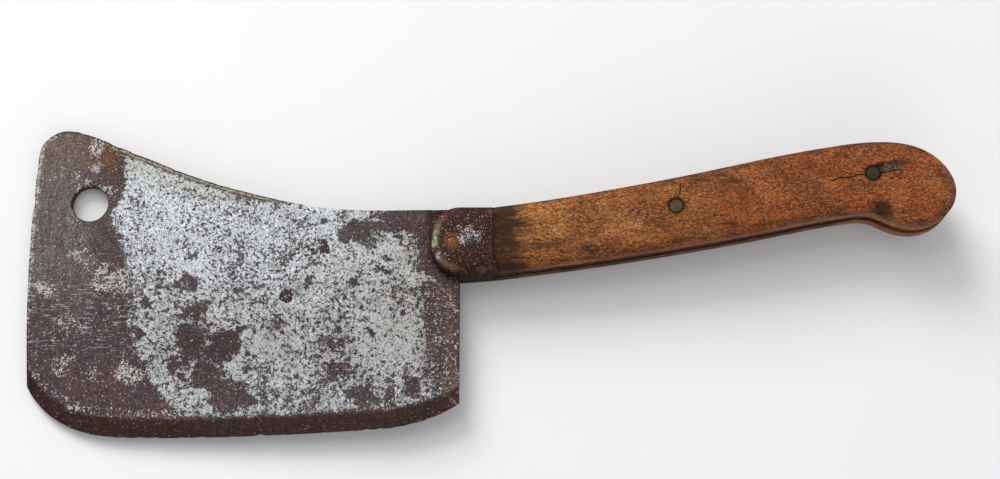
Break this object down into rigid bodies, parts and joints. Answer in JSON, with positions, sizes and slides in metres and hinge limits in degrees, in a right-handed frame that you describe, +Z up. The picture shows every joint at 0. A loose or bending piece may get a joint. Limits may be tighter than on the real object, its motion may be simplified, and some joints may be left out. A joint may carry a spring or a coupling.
{
  "type": "meat cleaver",
  "caption": "Butcher's meat cleaver with a broad plate blade, hang hole, full tang, D-shaped bolster cheeks and riveted wooden scales ending in a hooked pommel.",
  "frame": {"origin": "middle of the outline box in X and Y, on the outer face of the right-hand bolster cheek and scale, which the cleaver lies on", "axes": "+X from the toe of the blade to the butt of the handle, +Y from the cutting edge to the spine, +Z up through the thickness, from the right side to the left side"},
  "size_m": [0.4376, 0.1482, 0.025],
  "materials": {
    "blade_steel": "old carbon steel, silver-grey with dark pitting, brown and purple-brown rust",
    "bolster_iron": "dark brown rusted iron, worn bright on the front rim",
    "pin_steel": "peened flush, rust-stained",
    "handle_wood": "oiled fruitwood, worn smooth, orange-brown, darker at the ends",
    "rivet_brass": "dull grey-green tarnish"
  },
  "bodies": {
    "root": {"blade": "blade_steel", "bolster_left": "bolster_iron", "bolster_right": "bolster_iron", "bolster_pin_front": "pin_steel", "bolster_pin_rear": "pin_steel", "handle_scale_left": "handle_wood", "handle_scale_right": "handle_wood", "rivet_front_sleeve": "rivet_brass", "rivet_front_post": "rivet_brass", "rivet_rear_sleeve": "rivet_brass", "rivet_rear_post": "rivet_brass"}
  },
  "joints": []
}
